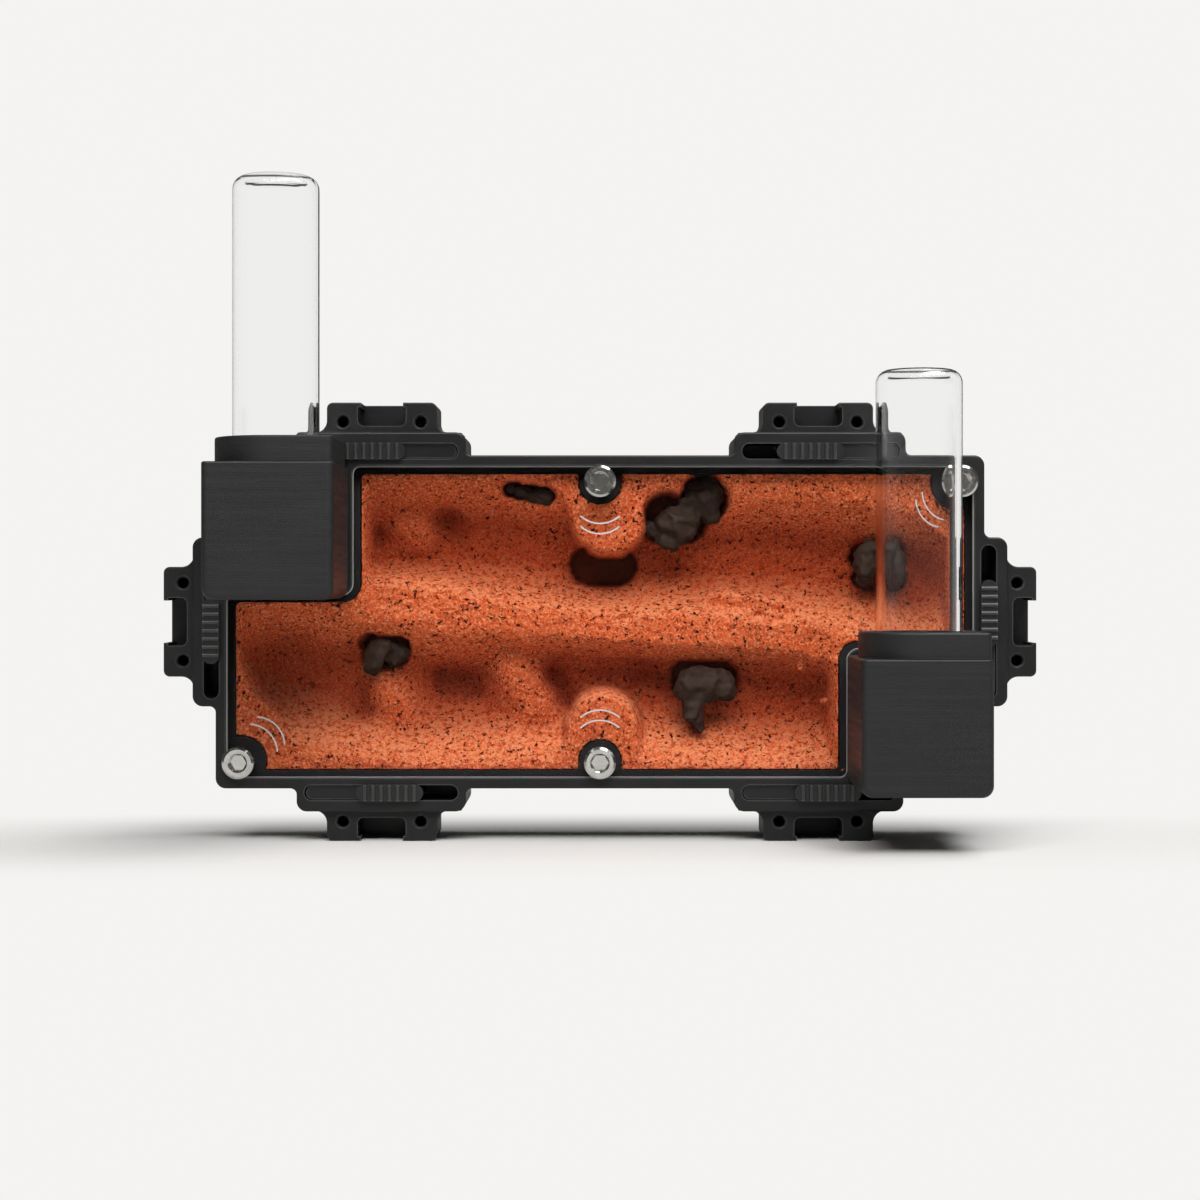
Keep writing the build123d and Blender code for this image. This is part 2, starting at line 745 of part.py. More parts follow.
for name, (x, y) in zip(docks, at_docks(0, 0)):
    save(f"{name}_tube_dock", Pos(x, y) * dock_body())
    save(f"{name}_tube_collar", Pos(x, y) * tube_collar())
    save(f"{name}_tube_seal", Pos(x, y) * tube_seal())
    save(f"{name}_test_tube", Pos(x, y) * glass_tube())
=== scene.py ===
import math

import bpy
import numpy as np
from bpy.props import FloatProperty, FloatVectorProperty, PointerProperty
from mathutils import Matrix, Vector


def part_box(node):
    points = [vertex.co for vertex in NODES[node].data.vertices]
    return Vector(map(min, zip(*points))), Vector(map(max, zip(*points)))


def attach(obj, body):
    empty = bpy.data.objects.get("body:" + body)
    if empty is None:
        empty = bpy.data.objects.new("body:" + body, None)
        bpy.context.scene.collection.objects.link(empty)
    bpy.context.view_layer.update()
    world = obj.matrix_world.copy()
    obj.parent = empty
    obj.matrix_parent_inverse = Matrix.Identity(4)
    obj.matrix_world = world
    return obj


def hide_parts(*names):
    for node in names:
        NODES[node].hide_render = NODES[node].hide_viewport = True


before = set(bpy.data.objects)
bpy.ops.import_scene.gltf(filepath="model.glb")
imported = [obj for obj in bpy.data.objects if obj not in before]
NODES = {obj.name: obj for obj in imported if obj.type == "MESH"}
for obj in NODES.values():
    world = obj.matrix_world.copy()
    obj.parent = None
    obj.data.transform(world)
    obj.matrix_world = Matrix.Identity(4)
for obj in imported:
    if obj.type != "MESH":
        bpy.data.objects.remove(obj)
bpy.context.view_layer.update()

bl_info = {
    "name": "Ant Habitat",
    "version": (1, 0, 0),
    "blender": (4, 5, 0),
    "location": "3D View > Sidebar > Ant Habitat",
    "description": "An upright plaster ant nest in a clamped case, with gates and test tubes",
    "category": "Add Mesh",
}

MM = 0.001

# The nest's own box: its face is the plane that the relief is carved back from.
NEST_LOW, NEST_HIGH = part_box("nest_insert")
NEST_MIDDLE = (NEST_LOW + NEST_HIGH) / 2
WINDOW_LOW, WINDOW_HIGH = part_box("window")
CASE_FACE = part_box("front_frame")[0].y

# The nest steps back at two corners for the docks' pads, and round the screws' bosses.
# Corners are x and y in mm from the nest's middle. Bosses are x, y and radius.
LEDGE = (WINDOW_HIGH.x - NEST_HIGH.x) / MM
PAD_CORNER_X, PAD_CORNER_Y = 48.3, 5.3
NOTCH_X, NOTCH_Y = PAD_CORNER_X - LEDGE, PAD_CORNER_Y - LEDGE
NOTCH_ROUND = 3.6
BOSSES = [(0, 27.4, 4.25), (0, -27.4, 4.25), (-70.4, -27.4, 5.05), (70.4, 27.4, 5.05)]
# The relief reaches no further back than this plane, so that some plaster is left behind it.
NEST_BACK = NEST_HIGH.y - 0.8 * MM

# The camera's sensor and lens are in mm, and the horizon lies above the picture's middle.
SENSOR, LENS = 36, 69.24
PICTURE_PIXELS, HORIZON_PIXELS = 1200, 25

# The sweep is a floor that curves up into a wall, in metres.
SWEEP_WIDTH, SWEEP_DEPTH, SWEEP_HEIGHT, SWEEP_CURVE = 5, 3.2, 2.2, 0.7
SWEEP_STEPS = 24
BACKDROP = (0.903, 0.896, 0.88, 1)
NEARLY = 1e-6

# The world lights the part faintly, and looks bright to the camera.
WORLD_COLOUR = (1.0, 0.995, 0.985, 1)
WORLD_LIGHT, WORLD_SEEN = 0.08, 0.9

# The skin over the window's cuts, frost on the engraved arcs and a painted highlight on the bevel,
# and the depths that the engraved arcs lie between.
FROST_THICKNESS = 0.05 * MM
GROOVE_DEPTHS = 0.1 * MM, 0.5 * MM

# Colours of the painted highlight along sharp edges, and of the painted shade in the gaps between a
# thumb pad's ribs.
PAINTED_EDGE_HIGHLIGHT = (0.10, 0.10, 0.098)
PAINTED_DOCK_EDGE_HIGHLIGHT = (0.06, 0.061, 0.06)
PAINTED_RIB_SHADE = (0.002, 0.002, 0.002)

# A wave texture repeats over this length when its scale is 1.
WAVE_REPEAT = 0.314

CONNECTORS = ("top_left", "top_right", "right", "bottom_right", "bottom_left", "left")
SIDES = ("left", "right")

# The relief is carved by strokes. Each is a path in millimetres from the nest's middle,
# the half width that reaches the full depth, the distance over which it fades out,
# the depth behind the nest's face, and how it fades.
GALLERIES = [
    ([(-42, 15.5), (-24, 15), (-8, 13), (2, 11.5), (14, 12), (28, 12), (42, 11.5), (54, 9.5),
      (64, 7)], 2.2, 12.5, 10.0, "SMOOTH"),
    ([(-64, -9), (-52, -12), (-36, -14), (-20, -14), (-6, -13), (6, -13), (20, -15), (34, -16),
      (43, -16)], 2.2, 13.0, 10.0, "SMOOTH"),
]
RIDGE = [
    ([(-48, 5.5), (-40, 5.5), (-31.6, 4.2), (-24, 1.8), (-12, -0.4), (0, -1.8), (10, -2.6),
      (20, -2.8), (31.6, -3), (39.5, -4.6), (48, -6.4)], 0.8, 8.0, 0.8, "SMOOTH"),
]
HUMPS_AND_HOLLOWS = [
    ([(-38.5, 19.4), (-36.5, 17.4)], 0.6, 6.5, 6.8, "SMOOTH"),
    ([(-45, 16.6)], 0.8, 2.6, 11.2, "SMOOTH"),
    ([(-30.5, 20.4), (-29, 18)], 1.0, 3.4, 11.0, "SMOOTH"),
    ([(-44.0, -13.0), (-41.6, -15.4), (-40.0, -19.0)], 0.7, 7.5, 6.0, "SMOOTH"),
    ([(-49, -13), (-48, -18)], 0.8, 3.0, 9.6, "SMOOTH"),
    ([(-31, -12), (-25, -13.2)], 1.2, 5.0, 11.4, "SMOOTH"),
    ([(-17.0, -9.8), (-15.8, -13.0), (-13.0, -17.4)], 0.9, 8.0, 5.6, "SMOOTH"),
    ([(-9.0, -10.4), (-6.4, -16.0)], 0.8, 3.2, 11.2, "SMOOTH"),
    ([(8, -10.6), (14, -13)], 1.0, 4.5, 11.0, "SMOOTH"),
    ([(24, 4.5), (36, 2.5)], 0.8, 4.0, 3.2, "SMOOTH"),
    ([(29, 1.2), (37.5, 0.2)], 0.2, 1.6, 3.0, "SHARP"),
    ([(4, 0.4), (15, 0.2)], 0.2, 1.6, 2.4, "SHARP"),
    ([(-22, 6.4), (-18.5, 4.2)], 0.2, 1.4, 4.6, "SHARP"),
]
BORDER_WIDTH = 0.9
BORDER_FADE = 1.7
LOBES = [
    ([(0.2, 27), (1.8, 20.4)], 6.9, 1.4, 0.15, "SPHERE"),
    ([(0.4, -27), (0.6, -20.8)], 6.0, 2.0, 0.15, "SPHERE"),
    ([(-72.5, -3), (-71.8, -9), (-70, -14)], 1.6, 1.5, 0.15, "SPHERE"),
    ([(-69, -20), (-66.5, -26)], 5.2, 1.8, 0.15, "SPHERE"),
    ([(66.8, 26), (70, 22)], 5.2, 1.8, 0.15, "SPHERE"),
]
TUNNEL = [([(-2.0, 11.0), (3.4, 11.0)], 3.9, 0.8, 13.6, "SHARP")]
CAVES = [
    ([(-17.6, 26.2), (-10.6, 24.9)], 1.5, 0.8, 10.5, "SHARP"),
    ([(20.4, 25.4), (21.4, 24.0)], 3.9, 0.8, 13.2, "SHARP"),
    ([(13.2, 21.2), (17, 20.0)], 4.2, 0.8, 13.2, "SHARP"),
    ([(9.4, 18.2), (14, 17)], 1.8, 0.8, 12.5, "SHARP"),
    ([(53.4, 12.6), (57.0, 12.8)], 3.3, 0.8, 13.4, "SHARP"),
    ([(53.0, 8.4), (58.2, 8.4)], 2.3, 0.8, 13.6, "SHARP"),
    ([(17.4, -10.9), (24.6, -11.2)], 3.0, 0.8, 13.4, "SHARP"),
    ([(17.4, -13.6), (24.8, -13.4)], 2.6, 0.8, 12.8, "SHARP"),
    ([(18.0, -17), (19.3, -20.4)], 1.0, 0.8, 11.5, "SHARP"),
    ([(-46.0, -4.4), (-39.6, -5.0)], 1.7, 0.8, 13.2, "SHARP"),
    ([(-45.6, -7.4), (-40.2, -7.0)], 1.8, 0.8, 13.2, "SHARP"),
]

# Lumps of clay, each a cluster of rounded blobs: x, y, depth of the middle behind the
# nest's face, half sizes along the lump and across it, half its thickness and its tilt.
CLAY_LUMPS = {
    "clay_slit": [
        (-11.8, 24.5, 5.0, 2.9, 1.8, 1.8, -6),
        (-15.0, 25.3, 5.4, 2.6, 1.2, 1.6, -14),
        (-18.0, 26.4, 6.4, 1.3, 0.9, 1.4, -30),
    ],
    "clay_cluster": [
        (20.8, 24.6, 5.0, 4.1, 3.3, 2.6, 24),
        (18.0, 22.4, 5.2, 2.9, 2.4, 2.2, 0),
        (15.4, 19.0, 4.4, 4.3, 3.9, 2.9, 30),
        (13.6, 16.6, 4.6, 2.7, 2.2, 2.2, -10),
        (10.2, 18.0, 5.8, 2.5, 1.4, 1.7, -8),
        (21.8, 21.4, 5.8, 2.2, 1.9, 1.9, 20),
    ],
    "clay_arch": [
        (52.6, 11.8, 5.0, 2.4, 3.9, 2.5, 0),
        (55.0, 14.2, 5.4, 3.6, 1.9, 2.2, -6),
        (58.4, 10.8, 5.0, 1.5, 4.6, 2.2, 0),
        (52.2, 8.6, 5.8, 1.6, 1.8, 1.8, 12),
    ],
    "clay_mitten": [
        (20.6, -12.6, 4.8, 5.4, 3.6, 2.7, 0),
        (24.6, -13.0, 5.0, 2.7, 3.3, 2.4, 0),
        (17.4, -13.6, 4.6, 2.6, 3.6, 2.5, 14),
        (18.3, -17.2, 4.6, 2.2, 3.2, 2.2, 20),
        (19.3, -20.0, 4.8, 1.3, 2.1, 1.7, 14),
    ],
    "clay_corner": [
        (-44.3, -7.2, 4.4, 1.8, 4.0, 2.0, -18),
        (-40.4, -6.6, 6.2, 2.7, 1.9, 1.8, 0),
        (-42.4, -5.6, 5.4, 2.3, 1.6, 1.8, 22),
    ],
}

# Crumbs of plaster lying in the galleries: x, y, depth and size.
CRUMBS = [
    (39.7, -8.7, 4.4, 1.15),
    (44.4, -15.9, 5.4, 0.7),
    (47.6, -29.0, 0.2, 0.5),
    (-7.9, 3.2, 3.6, 0.5),
    (30.4, -21.5, 6.0, 0.45),
    (-55.0, -23.0, 6.0, 0.5),
]


class HabitatNest(bpy.types.PropertyGroup):
    """Sizes and colours of the plaster nest and its clay."""

    cell: FloatProperty(
        name="Cell", description="Width of a cell of the sheet that the relief is carved in",
        default=0.56 * MM, unit="LENGTH", precision=5)
    lump_height: FloatProperty(
        name="Lump height", description="Height of the plaster's soft unevenness",
        default=0.9 * MM, unit="LENGTH", precision=5)
    grain_height: FloatProperty(
        name="Grain height", description="Height of the plaster's grain",
        default=0.65 * MM, unit="LENGTH", precision=5)
    plaster: FloatVectorProperty(
        name="Plaster", description="Colour of the plaster", subtype="COLOR", size=3,
        default=(0.80, 0.112, 0.028), min=0, max=1)
    # Also painted as a highlight where the plaster faces up.
    dust: FloatVectorProperty(
        name="Dust", description="Colour of the plaster's paler grains", subtype="COLOR",
        size=3, default=(0.98, 0.345, 0.155), min=0, max=1)
    # Painted shade: the colour that the plaster darkens to in its depths.
    painted_depth_shade: FloatVectorProperty(
        name="Damp", description="Colour of the plaster in its depths", subtype="COLOR",
        size=3, default=(0.30, 0.024, 0.004), min=0, max=1)
    # The real pores' colour, also painted as shade in the deepest pits.
    pore: FloatVectorProperty(
        name="Pores", description="Colour inside the plaster's pores", subtype="COLOR",
        size=3, default=(0.075, 0.011, 0.004), min=0, max=1)
    clay: FloatVectorProperty(
        name="Clay", description="Colour of the clay", subtype="COLOR", size=3,
        default=(0.027, 0.0125, 0.0068), min=0, max=1)


class HabitatCase(bpy.types.PropertyGroup):
    """Colours of the case, gates, docks, metal and seals."""

    case: FloatVectorProperty(
        name="Case", description="Colour of the moulded case", subtype="COLOR", size=3,
        default=(0.0085, 0.0085, 0.0086), min=0, max=1)
    dock: FloatVectorProperty(
        name="Docks", description="Colour of the tube docks and collars", subtype="COLOR",
        size=3, default=(0.0105, 0.0114, 0.0111), min=0, max=1)
    layer: FloatProperty(
        name="Layer", description="Pitch of the docks' level layer lines",
        default=0.28 * MM, unit="LENGTH", precision=5)
    steel: FloatVectorProperty(
        name="Steel", description="Colour of the screws", subtype="COLOR", size=3,
        default=(0.62, 0.61, 0.58), min=0, max=1)
    brass: FloatVectorProperty(
        name="Brass", description="Colour of the threaded inserts", subtype="COLOR", size=3,
        default=(0.75, 0.56, 0.28), min=0, max=1)


class HabitatGlass(bpy.types.PropertyGroup):
    """Colours of the window and the test tubes."""

    window: FloatVectorProperty(
        name="Window", description="Tint of the acrylic window", subtype="COLOR", size=3,
        default=(0.985, 0.99, 0.99), min=0, max=1)
    tube: FloatVectorProperty(
        name="Tubes", description="Tint of the test tubes", subtype="COLOR", size=3,
        default=(0.975, 0.98, 0.978), min=0, max=1)


class HabitatStage(bpy.types.PropertyGroup):
    """The floor, lamps and camera."""

    floor: FloatVectorProperty(
        name="Floor", description="Colour of the floor and backdrop", subtype="COLOR", size=3,
        default=(0.62, 0.615, 0.60), min=0, max=1)
    top: FloatProperty(
        name="Top lamp", description="Power of the lamp overhead", default=5.5,
        unit="POWER", min=0)
    front: FloatProperty(
        name="Front lamp", description="Power of the lamp above the viewer", default=9.4,
        unit="POWER", min=0)
    distance: FloatProperty(
        name="Camera distance", description="From the camera to the case's face",
        default=450 * MM, unit="LENGTH")
    height: FloatProperty(
        name="Camera height", description="Height of the camera over the floor",
        default=52.05 * MM, unit="LENGTH")


def spot(x, y, depth=0.0):
    """A point x, y mm from the nest's middle and depth mm behind its face, in metres."""
    return Vector((x * MM, NEST_LOW.y + depth * MM, NEST_MIDDLE.z + y * MM))


def clear_selection():
    """Leaves object mode with nothing selected."""
    if bpy.context.object and bpy.context.object.mode != "OBJECT":
        bpy.ops.object.mode_set(mode="OBJECT")
    bpy.ops.object.select_all(action="DESELECT")


def choose(*objects):
    """Selects these objects alone and makes the first one active."""
    clear_selection()
    for piece in objects:
        piece.select_set(True)
    bpy.context.view_layer.objects.active = objects[0]


def apply_modifier(piece, kind, **settings):
    """Adds a modifier to a piece, sets it and applies it."""
    choose(piece)
    modifier = piece.modifiers.new(kind.title(), kind)
    for name, value in settings.items():
        setattr(modifier, name, value)
    bpy.ops.object.modifier_apply(modifier=modifier.name)


def settle(piece, name, material, slot, body, *nodes):
    """Names a finished piece, puts its place in its mesh and ties it to the frame."""
    choose(piece)
    bpy.ops.object.transform_apply(location=True, rotation=True, scale=True)
    piece.name = name
    piece.data.name = name
    piece.data.materials.clear()
    piece.data.materials.append(material)
    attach(piece, body)
    if nodes:
        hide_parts(*nodes)


def points_of(piece):
    """The piece's vertices as rows of x, y and z."""
    flat = np.empty(len(piece.data.vertices) * 3)
    piece.data.vertices.foreach_get("co", flat)
    return flat.reshape(-1, 3)


class Finish:
    """A material that is being put together, with its shader and its pattern space."""

    def __init__(self, name, **values):
        self.material = bpy.data.materials.new(name)
        self.material.use_nodes = True
        self.tree = self.material.node_tree
        self.shader = self.tree.nodes["Principled BSDF"]
        self.place = self.add("ShaderNodeTexCoord").outputs["Object"]
        for socket, value in values.items():
            self.shader.inputs[socket.replace("_", " ")].default_value = value

    def add(self, kind, inputs=None, **settings):
        """A new node, with its settings, and its inputs as values or links."""
        node = self.tree.nodes.new(kind)
        for name, value in settings.items():
            setattr(node, name, value)
        for name, value in (inputs or {}).items():
            if isinstance(value, bpy.types.NodeSocket):
                self.tree.links.new(value, node.inputs[name])
            else:
                node.inputs[name].default_value = value
        return node

    def stretched(self, x, y, z):
        """The pattern space drawn out by these factors."""
        return self.add("ShaderNodeMapping", {"Vector": self.place, "Scale": (x, y, z)}).outputs[0]

    def noise(self, size, detail=2.0, rough=0.5, place=None):
        """Cloudy noise whose blobs are about this size in metres."""
        inputs = {"Vector": place or self.place, "Scale": 1 / size, "Detail": detail,
                  "Roughness": rough}
        return self.add("ShaderNodeTexNoise", inputs).outputs[0]

    def fade(self, value, low, high, to_low=0.0, to_high=1.0):
        """A value moved smoothly from one range to another."""
        inputs = {"Value": value, "From Min": low, "From Max": high, "To Min": to_low,
                  "To Max": to_high}
        return self.add("ShaderNodeMapRange", inputs, interpolation_type="SMOOTHSTEP").outputs[0]

    def maths(self, operation, a, b):
        """A sum, product or other combination of two values."""
        node = self.add("ShaderNodeMath", {0: a, 1: b}, operation=operation)
        return node.outputs[0]

    def blend(self, share, a, b, how="MIX"):
        """Two colours mixed by a share."""
        colours = [c if isinstance(c, bpy.types.NodeSocket) else (*c[:3], 1) for c in (a, b)]
        node = self.add("ShaderNodeMix", {0: share, 6: colours[0], 7: colours[1]},
                        data_type="RGBA", blend_type=how)
        return node.outputs[2]

    def edges(self, size, least=0.992, most=0.90):
        """A share that rises towards the piece's sharp edges, within about this size."""
        rounded = self.add("ShaderNodeBevel", {"Radius": size}, samples=6).outputs[0]
        flat = self.add("ShaderNodeNewGeometry").outputs["Normal"]
        turned = self.add("ShaderNodeVectorMath", {0: rounded, 1: flat}, operation="DOT_PRODUCT")
        return self.fade(turned.outputs["Value"], least, most)

    def colour(self, source):
        """Takes the surface's colour from a socket."""
        self.tree.links.new(source, self.shader.inputs["Base Color"])

    def roughness(self, source):
        """Takes the surface's roughness from a socket."""
        self.tree.links.new(source, self.shader.inputs["Roughness"])

    def relief(self, *layers):
        """Bumps the surface by layers of (height, depth in metres, strength)."""
        normal = None
        for height, depth, strength in layers:
            inputs = {"Height": height, "Distance": depth, "Strength": strength}
            if normal is not None:
                inputs["Normal"] = normal
            normal = self.add("ShaderNodeBump", inputs).outputs[0]
        self.tree.links.new(normal, self.shader.inputs["Normal"])

    def let_light_through(self, level_too):
        """Lets light from lamps and bounces pass straight through a clear piece.

        Level faces can be clear to every ray, as a tube's thin flat end is."""
        output = self.tree.nodes["Material Output"]
        path = self.add("ShaderNodeLightPath")
        share = self.maths("MAXIMUM", path.outputs["Is Shadow Ray"], path.outputs["Is Diffuse Ray"])
        if level_too:
            facing = self.add("ShaderNodeNewGeometry").outputs["Normal"]
            upward = self.add("ShaderNodeSeparateXYZ", {"Vector": facing}).outputs["Z"]
            steep = self.maths("ABSOLUTE", upward, 0.0)
            share = self.maths("MAXIMUM", share, self.fade(steep, 0.93, 0.99, 0.0, 0.94))
        clear = self.add("ShaderNodeBsdfTransparent",
                         {"Color": self.shader.inputs["Base Color"].default_value[:]})
        mix = self.add("ShaderNodeMixShader",
                       {0: share, 1: self.shader.outputs[0], 2: clear.outputs[0]})
        self.tree.links.new(mix.outputs[0], output.inputs["Surface"])


def plaster_finish(nest):
    """Open-grained plaster with dark pores: paler with dust and a painted highlight where it faces
    up, with painted shade in its depths and deepest pits.
    """
    finish = Finish("nest_plaster", Roughness=0.9, Specular_IOR_Level=0.05)
    broad = finish.noise(9 * MM, 3.0, 0.55)
    grain = finish.noise(1.0 * MM, 4.0, 0.65)
    fine = finish.noise(0.45 * MM, 3.0, 0.6)
    holes = finish.noise(0.85 * MM, 2.0, 0.55)
    pore = finish.fade(holes, 0.375, 0.335)
    depth = finish.add("ShaderNodeSeparateXYZ", {"Vector": finish.place}).outputs["Y"]
    # Painted shade, darkening the plaster with depth behind the nest's face.
    painted_depth_shade = finish.fade(depth, NEST_LOW.y + 2.5 * MM, NEST_LOW.y + 12.5 * MM, 0.0, 0.8)
    # Dust and a painted highlight: paler where the surface faces up.
    facing = finish.add("ShaderNodeNewGeometry").outputs["Normal"]
    upward = finish.add("ShaderNodeSeparateXYZ", {"Vector": facing}).outputs["Z"]
    dust_and_painted_highlight = finish.fade(upward, 0.0, 0.7, 0.15, 0.75)
    base = finish.blend(finish.fade(broad, 0.35, 0.7), nest.plaster,
                        [c * 0.86 for c in nest.plaster])
    base = finish.blend(finish.maths("MULTIPLY", finish.fade(grain, 0.38, 0.6), dust_and_painted_highlight), base,
                        nest.dust)
    base = finish.blend(finish.fade(fine, 0.52, 0.61, 0.0, 0.8), base, nest.dust)
    base = finish.blend(painted_depth_shade, base, nest.painted_depth_shade)
    base = finish.blend(finish.fade(grain, 0.42, 0.32, 0.0, 0.7), base, nest.pore)
    base = finish.blend(finish.fade(fine, 0.39, 0.31, 0.0, 0.6), base, nest.pore)
    base = finish.blend(pore, base, nest.pore)
    # Painted shade, near black in the deepest pits and caves.
    painted_pit_shade = finish.fade(depth, NEST_LOW.y + 10.6 * MM, NEST_LOW.y + 13.2 * MM, 0.0, 0.92)
    base = finish.blend(painted_pit_shade, base, nest.pore)
    finish.colour(base)
    finish.relief((grain, 1.2 * MM, 1.0), (fine, 0.5 * MM, 0.9),
                  (finish.maths("SUBTRACT", 1.0, pore), 0.7 * MM, 1.0))
    return finish.material


def clay_finish(nest):
    """Dull grey-brown clay, smoothed by hand, with fine cracks and specks."""
    finish = Finish("nest_clay", Specular_IOR_Level=0.16)
    broad = finish.noise(2.6 * MM, 3.0, 0.6)
    fine = finish.noise(0.4 * MM, 3.0, 0.6)
    base = finish.blend(finish.fade(broad, 0.35, 0.7), [c * 0.72 for c in nest.clay], nest.clay)
    base = finish.blend(finish.fade(fine, 0.58, 0.75, 0.0, 0.4), base,
                        [c * 1.7 for c in nest.clay])
    finish.colour(base)
    finish.roughness(finish.fade(broad, 0.3, 0.7, 0.55, 0.75))
    finish.relief((broad, 0.5 * MM, 0.5), (fine, 0.15 * MM, 0.5))
    return finish.material


def moulded_finish(name, colour, roughness, specular, grain_depth, painted_rib_shade=False):
    """Moulded black plastic with a fine grain, faint scuffs, a little dust and a painted highlight
    along its edges; with painted shade between a pad's ribs when asked.
    """
    finish = Finish(name, Specular_IOR_Level=specular)
    grain = finish.noise(0.16 * MM, 2.0, 0.6)
    cloudy = finish.noise(14 * MM, 3.0, 0.6)
    scuffs = finish.noise(1.2 * MM, 4.0, 0.7, finish.stretched(1, 0.5, 4))
    base = finish.blend(finish.fade(cloudy, 0.35, 0.7, 0.0, 0.5), colour,
                        [c * 1.5 for c in colour])
    base = finish.blend(finish.fade(scuffs, 0.68, 0.82, 0.0, 0.5), base,
                        [c * 3.2 for c in colour])
    # Painted highlight: lighter along the sharp edges, broken by the scuff noise.
    edge_highlight_share = finish.maths("MULTIPLY", finish.edges(0.4 * MM),
                        finish.fade(scuffs, 0.2, 0.6, 0.35, 0.8))
    base = finish.blend(edge_highlight_share, base, PAINTED_EDGE_HIGHLIGHT)
    # Painted shade darkens the gaps between a pad's ribs.
    if painted_rib_shade:
        depth = finish.add("ShaderNodeSeparateXYZ", {"Vector": finish.place}).outputs["Y"]
        low = finish.fade(depth, CASE_FACE - 1.0 * MM, CASE_FACE - 0.76 * MM, 0.0, 0.85)
        base = finish.blend(low, base, PAINTED_RIB_SHADE)
    finish.colour(base)
    finish.roughness(finish.fade(cloudy, 0.3, 0.7, roughness - 0.05, roughness + 0.06))
    finish.relief((grain, 0.05 * MM, grain_depth))
    return finish.material


def layered_finish(case):
    """Satin dark grey plastic built up in level layers."""
    finish = Finish("dock_plastic", Specular_IOR_Level=0.34)
    grain = finish.noise(0.2 * MM, 2.0, 0.6)
    cloudy = finish.noise(12 * MM, 3.0, 0.55)
    uneven = finish.noise(5 * MM, 2.0, 0.5, finish.stretched(0.25, 0.25, 6))
    wave = {"Vector": finish.place, "Scale": WAVE_REPEAT / case.layer, "Distortion": 0.0}
    lines = finish.add("ShaderNodeTexWave", wave, wave_type="BANDS", bands_direction="Z",
                       wave_profile="SIN").outputs[1]
    base = finish.blend(finish.fade(cloudy, 0.35, 0.7, 0.0, 0.6), case.dock,
                        [c * 1.25 for c in case.dock])
    base = finish.blend(finish.fade(uneven, 0.45, 0.75, 0.0, 0.35), base,
                        [c * 1.6 for c in case.dock])
    # Painted highlight: lighter along the sharp edges.
    base = finish.blend(finish.maths("MULTIPLY", finish.edges(0.35 * MM), 0.5), base,
                        PAINTED_DOCK_EDGE_HIGHLIGHT)
    finish.colour(base)
    finish.roughness(finish.fade(uneven, 0.3, 0.7, 0.46, 0.56))
    finish.relief((lines, 0.03 * MM, 0.35), (grain, 0.04 * MM, 0.3))
    return finish.material


def steel_finish(case):
    """Polished steel with fine handling marks."""
    finish = Finish("screw_steel", Base_Color=(*case.steel, 1), Metallic=1.0)
    marks = finish.noise(0.5 * MM, 4.0, 0.7, finish.stretched(1, 0.3, 5))
    cloudy = finish.noise(2.5 * MM, 2.0, 0.5)
    finish.colour(finish.blend(finish.fade(cloudy, 0.3, 0.7), case.steel,
                               [c * 0.86 for c in case.steel]))
    finish.roughness(finish.fade(marks, 0.35, 0.75, 0.13, 0.3))
    finish.relief((marks, 0.01 * MM, 0.3))
    return finish.material


def brass_finish(case):
    """Turned brass, slightly dulled."""
    finish = Finish("insert_brass", Metallic=1.0)
    dull = finish.noise(1.2 * MM, 3.0, 0.6)
    finish.colour(finish.blend(dull, case.brass, [c * 0.6 for c in case.brass]))
    finish.roughness(finish.fade(dull, 0.3, 0.7, 0.25, 0.42))
    finish.relief((dull, 0.02 * MM, 0.3))
    return finish.material


def rubber_finish(name, colour, roughness):
    """Soft rubber with a fine bloom."""
    finish = Finish(name, Specular_IOR_Level=0.3)
    bloom = finish.noise(0.9 * MM, 3.0, 0.65)
    finish.colour(finish.blend(finish.fade(bloom, 0.4, 0.75, 0.0, 0.6), colour,
                               [c * 1.6 for c in colour]))
    finish.roughness(finish.fade(bloom, 0.3, 0.7, roughness - 0.08, roughness + 0.08))
    finish.relief((bloom, 0.03 * MM, 0.4))
    return finish.material


def clear_finish(name, tint, ior, sheen, smear_size, smear, level_too=False):
    """Clear acrylic or glass with faint wiping marks."""
    finish = Finish(name, Base_Color=(*tint, 1), IOR=ior, Transmission_Weight=1.0,
                    Specular_Tint=(sheen, sheen, sheen, 1))
    marks = finish.noise(smear_size, 4.0, 0.65, finish.stretched(1, 1, 0.35))
    finish.roughness(finish.fade(marks, 0.55, 0.85, 0.0, smear))
    finish.let_light_through(level_too)
    return finish.material


def frost_and_bevel_highlight_finish():
    """Acrylic left white where the arcs are engraved; on the window's bevel the same white is a
    painted highlight.
    """
    finish = Finish("frost_and_bevel_highlight", Specular_IOR_Level=0.5)
    speckle = finish.noise(0.3 * MM, 3.0, 0.6)
    finish.colour(finish.blend(speckle, (0.40, 0.385, 0.37), (0.66, 0.64, 0.62)))
    finish.roughness(finish.fade(speckle, 0.3, 0.7, 0.3, 0.5))
    finish.relief((speckle, 0.02 * MM, 0.3))
    return finish.material


def near_path(points, path, reach):
    """True for the points within a distance in mm of a path on the nest's face."""
    x = points[:, 0] / MM
    y = (points[:, 2] - NEST_MIDDLE.z) / MM
    least = np.full(len(points), np.inf)
    for (x1, y1), (x2, y2) in zip(path, path[1:] or path):
        along = np.array((x2 - x1, y2 - y1), float)
        length = max(along @ along, 1e-9)
        share = np.clip(((x - x1) * along[0] + (y - y1) * along[1]) / length, 0, 1)
        least = np.minimum(least, np.hypot(x - x1 - share * along[0], y - y1 - share * along[1]))
    return least <= reach


